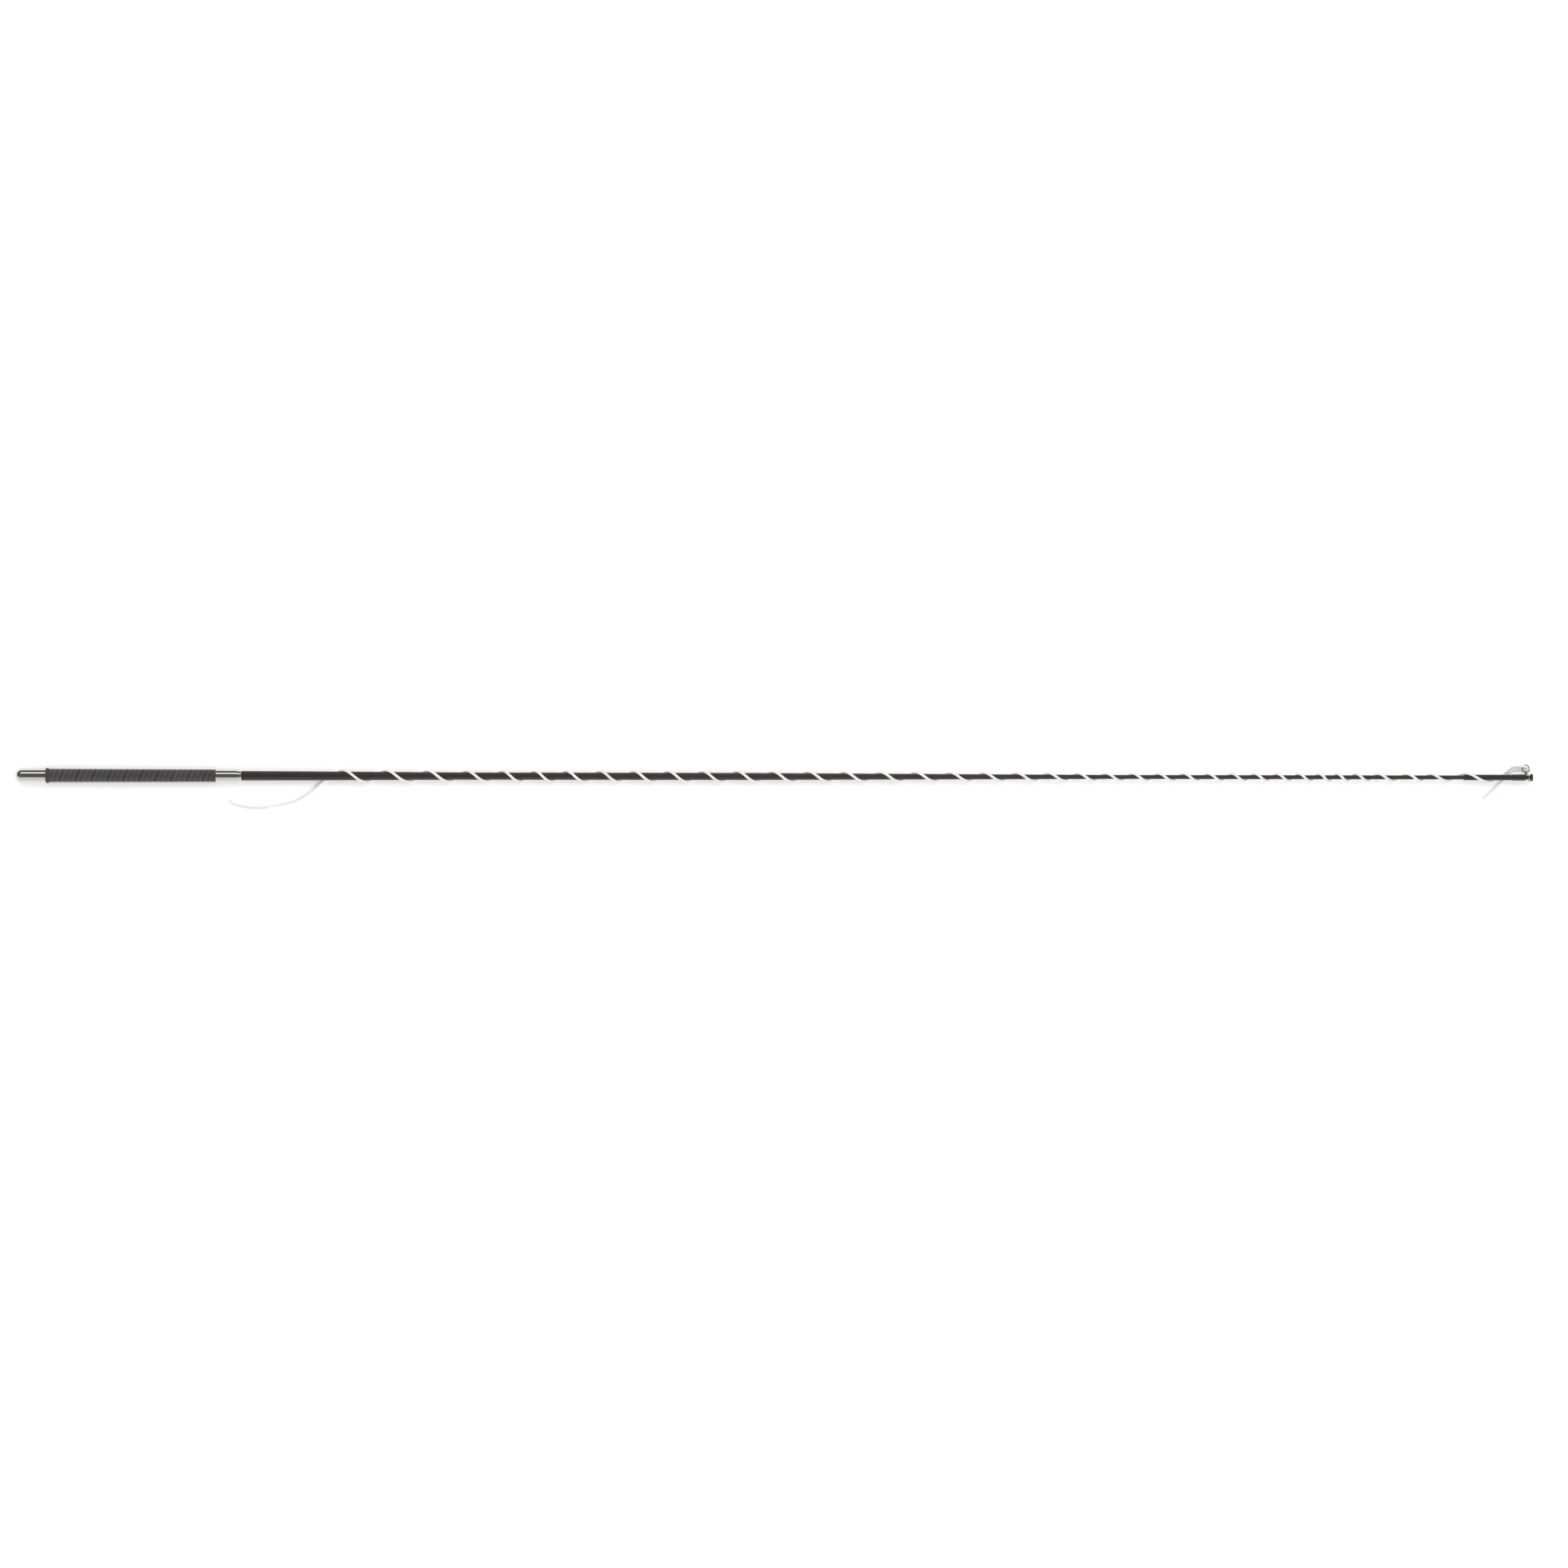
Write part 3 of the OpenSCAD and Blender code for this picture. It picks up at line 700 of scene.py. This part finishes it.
class WhipColours(bpy.types.PropertyGroup):
    """Main colours of the whip's finishes."""

    chrome: FloatVectorProperty(
        name="Chrome", description="Colour of the cap and the ferrule",
        subtype="COLOR", size=4, min=0, max=1, default=linear("#CBCAC6"),
    )
    wire: FloatVectorProperty(
        name="Wire", description="Colour of the swivel's wire",
        subtype="COLOR", size=4, min=0, max=1, default=linear("#B0ADAA"),
    )
    braid: FloatVectorProperty(
        name="Stock braid", description="Colour of the stock's braid near the grip",
        subtype="COLOR", size=4, min=0, max=1, default=linear("#231815"),
    )
    strip: FloatVectorProperty(
        name="Grip strip", description="Colour of the grip's ribbed strip",
        subtype="COLOR", size=4, min=0, max=1, default=linear("#353334"),
    )
    tip: FloatVectorProperty(
        name="Tip lacquer", description="Colour of the sleeve, the socket and the knob",
        subtype="COLOR", size=4, min=0, max=1, default=linear("#1E1516"),
    )
    cord: FloatVectorProperty(
        name="Lash", description="Colour of the lash cord",
        subtype="COLOR", size=4, min=0, max=1, default=linear("#F4F2EE"),
    )


# ---------------------------------------------------------------- pieces


class WHIP_OT_stage(bpy.types.Operator):
    """Sets up the floor, the lights and the camera"""

    bl_idname = "whip.stage"
    bl_label = "Stage"

    def execute(self, context):
        scene = context.scene
        sizes = scene.whip_sizes
        half = 20.0
        corners = half * np.array([[-1, -1], [1, -1], [1, 1], [-1, 1]])
        mesh = bpy.data.meshes.new("floor")
        mesh.from_pydata([(x, y, CAD_BOX[0].z) for x, y in corners], [], [(0, 1, 2, 3)])
        mesh.materials.append(pale_paper())
        floor = bpy.data.objects.new("floor", mesh)
        scene.collection.objects.link(floor)

        sensor_mm, roll, aim = 36, math.radians(0.08), (0.8895, -0.0089)
        camera = bpy.data.objects.new("camera", bpy.data.cameras.new("camera"))
        camera.data.sensor_width = sensor_mm
        camera.data.lens = sensor_mm * sizes.camera_height / sizes.frame_width
        camera.data.clip_end = 100
        camera.location = (*aim, sizes.camera_height)
        camera.rotation_euler = (0, 0, roll)
        scene.collection.objects.link(camera)
        scene.camera = camera

        world = bpy.data.worlds.new("studio")
        world.use_nodes = True
        background = world.node_tree.nodes["Background"]
        background.inputs["Color"].default_value = linear("#FBFBFC")
        background.inputs["Strength"].default_value = 0.95
        scene.world = world
        scene.view_settings.view_transform = "Standard"

        # Long lights beside the whip: place, width, watts, and whether the chrome sees them
        middle, light_length = (CAD_BOX[0].x + CAD_BOX[1].x) / 2, 3.4
        for name, y, z, width, power, gloss in (
            ("key_light", 2.2, 3.2, 2.4, 36, False),
            ("fill_light", -2.4, 2.6, 2.4, 24, False),
            ("strip_light", 1.85, 2.1, 0.75, 14, True),
        ):
            data = bpy.data.lights.new(name, "AREA")
            data.shape = "RECTANGLE"
            data.size, data.size_y = light_length, width
            data.energy = power
            light = bpy.data.objects.new(name, data)
            light.location = (middle, y, z)
            light.rotation_euler = (math.atan2(-y, z), 0, 0)
            light.visible_glossy = gloss
            scene.collection.objects.link(light)

        # A grey felt card that only reflections see, so that the chrome has dark bands.
        # It is an arc (x, r sin a, r cos a) over the whip, drawn in to an end wall
        # behind the butt.
        over, a = 3.6, np.radians(np.linspace(-30, 90, 40))
        arc = np.stack([np.sin(a), np.cos(a)], -1) * over
        front, behind = 6.0, -1.6
        grid = np.stack([
            np.stack([np.full(len(a), x), arc[:, 0] * share, arc[:, 1] * share], -1)
            for x, share in ((front, 1.0), (behind, 1.0), (behind, 0.1))
        ])
        card = shell(grid, around_v=False)
        mesh = bpy.data.meshes.new("dark_card")
        mesh.from_pydata(card["points"].tolist(), [], card["faces"].tolist())
        felt, *_ = new_material(
            "grey_felt", Roughness=1.0, Specular_IOR_Level=0.0, Base_Color=linear("#605B58")
        )
        mesh.materials.append(felt)
        ceiling = bpy.data.objects.new("dark_card", mesh)
        ceiling.visible_camera = ceiling.visible_diffuse = ceiling.visible_shadow = False
        scene.collection.objects.link(ceiling)
        return {"FINISHED"}


class WHIP_OT_butt(bpy.types.Operator):
    """Makes the domed butt cap and the rubber collar"""

    bl_idname = "whip.butt"
    bl_label = "Butt cap and collar"

    def execute(self, context):
        low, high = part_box("butt_cap")
        r, wall, dome, rim = high.y, 0.0008, 0.008, context.scene.whip_sizes.edge_round
        # The dome is a quarter of an ellipse, inside and out
        a = np.linspace(0, math.pi / 2, 40)
        outside = np.stack([low.x + dome * (1 - np.cos(a)), r * np.sin(a)], -1)
        mouth = eased([
            outside[-1], [high.x, r], [high.x, r - wall], [low.x + dome, r - wall],
        ], rim)[1:-1]
        inside = np.stack([
            low.x + wall + (dome - wall) * (1 - np.cos(a)), (r - wall) * np.sin(a)
        ], -1)[::-1]
        outline = np.concatenate([outside, divided(mouth, 0.004), inside])
        add_piece(
            "butt_cap_polished", [shell(lathe(outline, columns=96))],
            bpy.data.materials.get("polished_chrome_plate") or polished_chrome(),
            "root", ["butt_cap"],
        )
        low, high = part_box("grip_collar")
        bore = stock_radius(low.x + ORIGIN) + GLUE
        ring = eased(
            [[low.x, bore], [low.x, high.y], [high.x, high.y], [high.x, bore]],
            [0, 0.0006, 0.0006, 0], closed=True,
        )
        add_piece(
            "grip_collar_rubber", [shell(lathe(ring, columns=96), around_u=True)],
            moulded_rubber(), "root", ["grip_collar"],
        )
        return {"FINISHED"}


class WHIP_OT_grip(bpy.types.Operator):
    """Makes the ribbed strip, wound round the handle"""

    bl_idname = "whip.grip"
    bl_label = "Wound grip"

    def execute(self, context):
        sizes = context.scene.whip_sizes
        low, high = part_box("grip_strip")
        # How far the strip stands out from the stock, and its own thickness
        out, wall, columns = 0.0016, 0.0012, 72
        rib_side, edge_side, crowning = 0.00075, 0.001, 0.0001
        x = np.linspace(low.x, high.x, 780)
        v = np.arange(columns) / columns
        # Turns of the strip: it is wound left-handed, so its edge is where
        # x / lead + v is whole. Each rib falls to a groove by the cubic of its distance
        # from the groove, and is crowned by the square of the distance from its middle.
        turns = x[:, None] / sizes.strip_lead + v[None, :]
        width = sizes.strip_lead / sizes.strip_ribs
        ribs = turns * sizes.strip_ribs
        off_rib = np.abs(ribs - np.round(ribs)) * width
        off_edge = np.abs(turns - np.round(turns)) * sizes.strip_lead
        groove = 1 - ease(off_rib / rib_side)
        edge = 1 - ease(off_edge / edge_side)
        crown = (2 * off_rib / width - 1) ** 2 * crowning
        deep = np.maximum(groove * sizes.rib_depth, edge * sizes.edge_depth) + crown
        r = stock_radius(x + ORIGIN)[:, None] + out - deep
        a = TAU * v
        face = np.stack([
            np.broadcast_to(x[:, None], r.shape), r * np.cos(a), r * np.sin(a)
        ], -1)
        few = x[::-60]
        back = lathe(np.stack([few, stock_radius(few + ORIGIN) + out - wall], -1), columns)
        # crest is 1 on the ribs and falls in the grooves: it sets roughness, and the painted shade
        # that darkens the grooves
        crest = 1 - np.maximum(groove * 0.75, edge)
        add_piece(
            "grip_strip_wound",
            [shell(np.concatenate([face, back]), around_u=True,
                   crest=np.concatenate([crest, np.ones(back.shape[:2])]))],
            grained_strip(), "root", ["grip_strip"], sharp=50,
        )
        return {"FINISHED"}


class WHIP_OT_ferrule(bpy.types.Operator):
    """Makes the front ferrule"""

    bl_idname = "whip.ferrule"
    bl_label = "Front ferrule"

    def execute(self, context):
        low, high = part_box("front_ferrule")
        r, nose, wall = high.y, 0.010, 0.0007
        bore = stock_radius(high.x + ORIGIN) + GLUE
        nose_r = bore + 0.0008
        # The nose falls from r by the square of the way along it, and has a fine line
        # turned in it as a bell curve
        t = np.linspace(0, 1, 28)
        shoulder = np.stack([high.x - nose + nose * t, r - (r - nose_r) * t**2], -1)
        line_at, line_depth, line_width = high.x - 0.0013, 0.00012, 0.00025
        shoulder[:, 1] -= line_depth * np.exp(-((shoulder[:, 0] - line_at) / line_width) ** 2)
        corners = np.concatenate([
            [[low.x, r - wall], [low.x, r]], shoulder[[0]], shoulder[[-1]],
            [[high.x, bore], [high.x - 0.002, bore], [high.x - nose, r - wall]],
        ])
        steps, reach = 5, [0.0002, 0.0003, 0, 0.0003, 0.0001, 0, 0]
        ring = eased(corners, reach, steps, closed=True)
        # Each corner is `steps` points, and the nose stands in for those of the third
        ring = np.concatenate([ring[:2 * steps], shoulder[:-1], ring[3 * steps:]])
        turned = lathe(divided(ring, 0.004, closed=True), columns=96)
        add_piece(
            "front_ferrule_polished", [shell(turned, around_u=True)],
            bpy.data.materials.get("polished_chrome_plate") or polished_chrome(),
            "root", ["front_ferrule"],
        )
        return {"FINISHED"}


class WHIP_OT_stock(bpy.types.Operator):
    """Makes the stock's braided cover"""

    bl_idname = "whip.stock"
    bl_label = "Braided stock"

    def execute(self, context):
        low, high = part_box("braided_cover")
        x, wall = np.linspace(low.x, high.x, 520), 0.0008
        outside = np.stack([x, stock_radius(x + ORIGIN)], -1)
        inside = outside[::-20] - [0, wall]
        grid = lathe(np.concatenate([outside, inside]), columns=48)
        add_piece(
            "braided_cover_lacquered", [shell(grid, around_u=True)], lacquered_braid(),
            "root", ["braided_cover"],
        )
        return {"FINISHED"}


class WHIP_OT_tip(bpy.types.Operator):
    """Makes the black sleeve, the socket and the post with its knob"""

    bl_idname = "whip.tip"
    bl_label = "Tip"

    def execute(self, context):
        lacquer = black_lacquer()
        rim = context.scene.whip_sizes.edge_round
        low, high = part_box("tip_sleeve")
        thin = stock_radius(STOCK[-1, 0])
        bore = thin + GLUE
        ring = eased([
            [low.x, bore], [low.x, SLEEVE_R - 0.0003], [low.x + 0.0012, SLEEVE_R],
            [high.x, SLEEVE_R], [high.x, bore],
        ], [0, 0.0004, 0.0006, 0.0001, 0], closed=True)
        turned = lathe(divided(ring, 0.004, closed=True), columns=64)
        add_piece(
            "tip_sleeve_lacquered", [shell(turned, around_u=True)],
            lacquer, "root", ["tip_sleeve"],
        )
        low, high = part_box("tip_socket")
        r, hole, neck, cup = high.y, thin - 0.0008, 0.0023, 0.009
        post, shank = 0.0012, 0.00505
        hollow = post + GLUE
        ring = eased([
            [low.x + cup, 0], [low.x + cup, hole], [low.x, hole], [low.x, r],
            [high.x - 0.0011, r], [high.x, neck], [high.x, hollow], [high.x - shank, hollow],
            [high.x - shank, 0],
        ], [0, 0, 0, rim, 0.0005, 0.0002, 0, 0, 0])
        add_piece(
            "tip_socket_lacquered", [shell(lathe(divided(ring, 0.003), columns=64))],
            lacquer, "root", ["tip_socket"],
        )
        low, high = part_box("tip_post")
        knob, knob_l, flare = high.y, 0.0024, 0.0012
        outline = eased([
            [low.x, 0], [low.x, post], [low.x + shank, post], [low.x + shank, neck],
            [high.x - knob_l - flare, neck], [high.x - knob_l, knob], [high.x, knob], [high.x, 0],
        ], [0, 0, 0, 0, 0.0004, 0.0003, 0.0009, 0], steps=8)
        add_piece(
            "tip_post_lacquered", [shell(lathe(divided(outline, 0.002), columns=64))],
            lacquer, "root", ["tip_post"],
        )
        return {"FINISHED"}


class WHIP_OT_swivel(bpy.types.Operator):
    """Makes the swivel's ring, barrel and bow from wire"""

    bl_idname = "whip.swivel"
    bl_label = "Swivel"

    def execute(self, context):
        wire = drawn_steel_wire()
        # The ring is a circle R (0, cos a, sin a), turned about Z by its lean, and moved
        # so that its point at a = 0, under the barrel, stays at x = 0
        a = TAU * np.arange(96) / 96
        c, s = math.cos(RING_LEAN), math.sin(RING_LEAN)
        circle = RING_R * np.stack([s - s * np.cos(a), c * np.cos(a), np.sin(a)], -1)
        ring = tube(circle, RING_WIRE / 2, columns=20, up=[c, s, 0], closed=True)
        add_piece(
            "swivel_ring_wire", [shell(on_swivel(ring), around_u=True)], wire,
            "ring", ["swivel_ring"],
        )
        # The barrel is turned about +Y of the swivel's frame, with room for the bow's head
        wall, play, head_r, hole, barrel_r = 0.0006, 0.0002, 0.00105, 0.00065, 0.0018
        seat, room = BARREL_TO - wall, head_r + play
        floor = seat - 0.001
        outline = eased([
            [BARREL_FROM, 0], [BARREL_FROM, barrel_r], [BARREL_TO, barrel_r], [BARREL_TO, hole],
            [seat, hole], [seat, room], [floor, room], [floor, 0],
        ], [0, 0.0003, 0.0003, 0.0001, 0, 0, 0, 0])
        barrel = lathe(divided(outline, 0.001), columns=48)[..., [1, 0, 2]]
        add_piece(
            "swivel_barrel_turned", [shell(on_swivel(barrel))], wire,
            "ring", ["swivel_barrel"],
        )
        # The bow's loop: a straight foot with two small bends, two legs and a half circle
        leg, bend = BOW_W / 2, 0.0016
        q = np.linspace(0, math.pi / 2, 10)
        h = np.linspace(0, math.pi, 40)
        corner = np.stack([
            leg - bend + bend * np.sin(q), BOW_FOOT + bend - bend * np.cos(q)
        ], -1)
        crown = np.stack([leg * np.cos(h), BOW_CROWN + leg * np.sin(h)], -1)
        rows = [corner, crown, corner[::-1] * [-1, 1]]
        loop = divided(np.concatenate(rows), 0.0006, closed=True)
        loop = np.stack([loop[:, 0], loop[:, 1], np.zeros(len(loop))], -1)
        wire_loop = tube(loop, BOW_WIRE / 2, columns=20, up=[0, 0, 1], closed=True)
        top, head = seat - play, 0.0006
        shank = eased([
            [top - head, 0], [top - head, head_r], [top, head_r], [top, BOW_WIRE / 2],
            [BOW_FOOT, BOW_WIRE / 2], [BOW_FOOT, 0],
        ], [0, 0.0001, 0.0001, 0, 0, 0])
        shank = lathe(divided(shank, 0.0008), columns=32)[..., [1, 0, 2]]
        add_piece(
            "swivel_bow_wire",
            [shell(on_swivel(wire_loop), around_u=True), shell(on_swivel(shank))], wire,
            "bow", ["swivel_bow"],
        )
        return {"FINISHED"}


class WHIP_OT_lash(bpy.types.Operator):
    """Makes the lash: one tube, cut into the short end, the eye and the long cord"""

    bl_idname = "whip.lash"
    bl_label = "Lash"

    def execute(self, context):
        step = context.scene.whip_sizes.cord_step
        flat = FLOOR_Z + CORD_D / 2
        down = np.array([0, 0, -1.0])

        # The winding: radius and angle about the stock against its turns
        n = np.linspace(WINDING[-1, 0], WINDING[0, 0], 3800)
        s = WIND_FROM + smooth_table(n, WINDING)
        onto = ease((s - SLEEVE_FROM + 0.009) / 0.008)
        under = stock_radius(s) * (1 - onto) + SLEEVE_R * onto
        a = math.pi / 2 + TAU * n
        out = np.stack([np.zeros_like(a), np.cos(a), np.sin(a)], -1)
        wound = out * (under + CORD_D / 2 - GLUE)[:, None]
        wound[:, 0] = station(s)

        def lying(points, x, side):
            """Loose points at their place: their heights are in cord diameters."""
            height = flat + CORD_D * points[:, 2]
            return np.stack([x + points[:, 0], side + points[:, 1], height], -1)

        def over_bow(points, side):
            """The eye's points: their heights run from flat to just over the bow there."""
            y = side + points[:, 1]
            over = (BOW_WIRE + CORD_D) / 2 / math.cos(BOW_DROP) + 0.0001 - y * math.tan(BOW_DROP)
            return np.stack([EYE_X + points[:, 0], y, flat + points[:, 2] * (over - flat)], -1)

        # From the short end, through the eye and the lead, to a point that stands off
        # from the winding's first, and to that first point itself
        steps, standing_off = 24, [0.004, 0.0024, 0.0005]
        parts = [
            lying(SHORT_END, TIP_X, SPARE_SIDE)[::-1], over_bow(EYE_BACK, SPARE_SIDE)[::-1],
            over_bow(EYE_OUT, EYE_SIDE)[::-1], lying(LEAD, TIP_X, EYE_SIDE)[::-1],
            wound[:1] + [standing_off, [0, 0, 0]],
        ]
        loose = smooth_through(np.concatenate(parts), steps)
        eye_from = steps * (len(SHORT_END) - 1)
        eye_to = eye_from + steps * (len(EYE_BACK) + len(EYE_OUT) + 1)
        tail = np.concatenate([wound[-1:], lying(TAIL, station(WIND_FROM), 0)])
        tail = smooth_through(tail, steps)

        # The tube's first column faces the floor, the stock, or out of the eye's plane
        eye = slice(eye_from, eye_to + 1)
        d = distances(loose[eye])
        share = ease(np.minimum(d, d[-1] - d) / 0.005)[:, None]
        facing = np.tile(down, (len(loose), 1))
        facing[eye] = down * (1 - share) + share * [0, 0.84, -0.54]
        stretches = [
            even(loose[:eye_from + 1], facing[:eye_from + 1], step / 2),
            even(loose[eye], facing[eye], step / 2),
            even(
                np.concatenate([loose[eye_to:-1], wound, tail[1:]]),
                np.concatenate([facing[eye_to:-1], out, np.tile(down, (len(tail) - 1, 1))]),
                step,
            ),
        ]
        counts = np.cumsum([0] + [len(route) - 1 for route, _ in stretches])
        route = np.concatenate([r[:-1] for r, _ in stretches] + [stretches[-1][0][-1:]])
        ups = np.concatenate([u[:-1] for _, u in stretches] + [stretches[-1][1][-1:]])
        grid = tube(route, CORD_D / 2, columns=16, up=ups)
        cord = braided_cord()
        # The cord is made as three pieces: the short end, the eye and the long cord
        span, loop = (TIP_X - 0.115, TIP_X - 0.0605), (TIP_X - 0.0214, TIP_X - 0.013)
        for k, (name, a, b, (start, end), nodes, exit_row, far) in enumerate((
            ("lash_short_end_cord", "root", "ring", span, ["lash_short_end"], -1, "bare"),
            ("lash_eye_loop", "ring", "bow", loop, ["lash_eye"], -1, "object"),
            ("lash_cord", "root", "ring", span, ["lash_lead", "lash_winding", "lash_tail"],
             0, "bare"),
        )):
            rows = slice(counts[k], counts[k + 1] + 1)
            piece = add_piece(
                name, [self.closed(route[rows], grid[rows], distances(route)[rows], k)], cord,
                None, nodes, sharp=60,
            )
            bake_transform(piece)
        return {"FINISHED"}

    def closed(self, route, grid, u, stretch):
        """One stretch of the cord, with its ends closed. The hollow braid shows at the
        lash's two ends, as a wall that turns in to a bore, and the ends that meet another
        stretch are flat.
        """
        made, along = [grid], [u]
        for end, opened in ((0, stretch == 0), (-1, stretch == 2)):
            inward = unit(route[1] - route[0]) if end == 0 else unit(route[-2] - route[-1])
            if opened:
                depth = np.array([-0.0002, -0.0001, 0.0004, 0.002, 0.002])
                size = np.array([0.9, 0.7, 0.55, 0.5, 0.0])
            else:
                depth, size = np.zeros(1), np.zeros(1)
            rings = (
                route[end] + (grid[end] - route[end]) * size[:, None, None]
                + inward * depth[:, None, None]
            )
            if end == 0:
                made.insert(0, rings[::-1])
                along.insert(0, np.full(len(depth), u[0]))
            else:
                made.append(rings)
                along.append(np.full(len(depth), u[-1]))
        return shell(np.concatenate(made), u=np.concatenate(along))


class WHIP_OT_inner_parts(bpy.types.Operator):
    """Gives the parts inside the whip their finishes"""

    bl_idname = "whip.inner_parts"
    bl_label = "Inner parts"

    def execute(self, context):
        nylon = moulded_nylon()
        finishes = {
            "core_rod": glass_fibre(), "butt_weight": turned_steel(), "butt_plug": nylon,
            "grip_tape": cloth_tape(), "ferrule_bush": nylon,
        }
        for name, material in finishes.items():
            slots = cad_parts[name].data.materials
            slots.clear()
            slots.append(material)
        return {"FINISHED"}


PIECES = (
    WHIP_OT_stage, WHIP_OT_lash, WHIP_OT_butt, WHIP_OT_grip, WHIP_OT_ferrule, WHIP_OT_stock,
    WHIP_OT_tip, WHIP_OT_swivel, WHIP_OT_inner_parts,
)


class WHIP_PT_panel(bpy.types.Panel):
    """Lists the whip's sizes, colours and pieces"""

    bl_idname = "WHIP_PT_panel"
    bl_label = "Lunge Whip"
    bl_space_type = "VIEW_3D"
    bl_region_type = "UI"
    bl_category = "Whip"

    def draw(self, context):
        layout = self.layout
        for group in (context.scene.whip_sizes, context.scene.whip_colours):
            box = layout.box()
            for name in group.__annotations__:
                box.prop(group, name)
        for piece in PIECES:
            layout.operator(piece.bl_idname)


CLASSES = (WhipSizes, WhipColours, *PIECES, WHIP_PT_panel)


def register():
    for cls in CLASSES:
        bpy.utils.register_class(cls)
    bpy.types.Scene.whip_sizes = PointerProperty(type=WhipSizes)
    bpy.types.Scene.whip_colours = PointerProperty(type=WhipColours)


def unregister():
    del bpy.types.Scene.whip_colours
    del bpy.types.Scene.whip_sizes
    for cls in reversed(CLASSES):
        bpy.utils.unregister_class(cls)


def main():
    """Makes the stage and every piece."""
    register()
    for piece in PIECES:
        group, name = piece.bl_idname.split(".")
        getattr(getattr(bpy.ops, group), name)()


if __name__ == "__main__":
    main()
